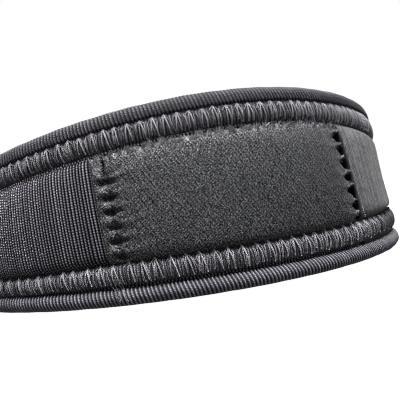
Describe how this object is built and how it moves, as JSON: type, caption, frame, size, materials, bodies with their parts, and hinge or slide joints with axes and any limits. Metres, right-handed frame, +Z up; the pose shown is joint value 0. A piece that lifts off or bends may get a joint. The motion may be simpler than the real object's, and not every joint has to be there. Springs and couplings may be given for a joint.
{
  "type": "padded knee strap",
  "caption": "Padded fabric band worn round the knee, taller at the front, with rolled ribbed edges, flat seams, a sewn front patch and a hook-and-loop closing tab at the back.",
  "frame": {"origin": "on the floor, at the middle of the loop's lower edge", "axes": "+Z up along the loop's axis, -Y towards the front patch, +Y towards the closing tab, +X to the right seen from the front"},
  "size_m": [0.1362, 0.136, 0.0482],
  "materials": {
    "ribbed_knit": "dark grey ribbed stretch knit over foam padding",
    "binding_knit": "charcoal ribbed elastic binding with a slight sheen",
    "seam_thread": "grey overlock thread in a flat seam",
    "satin_twill": "dark grey satin twill",
    "loop_cloth": "black brushed loop cloth"
  },
  "bodies": {
    "root": {"band_body": "ribbed_knit", "bottom_binding": "binding_knit", "top_binding": "binding_knit", "bottom_seam": "seam_thread", "top_seam": "seam_thread", "front_patch": "satin_twill", "closure_tab": "loop_cloth"}
  },
  "joints": []
}
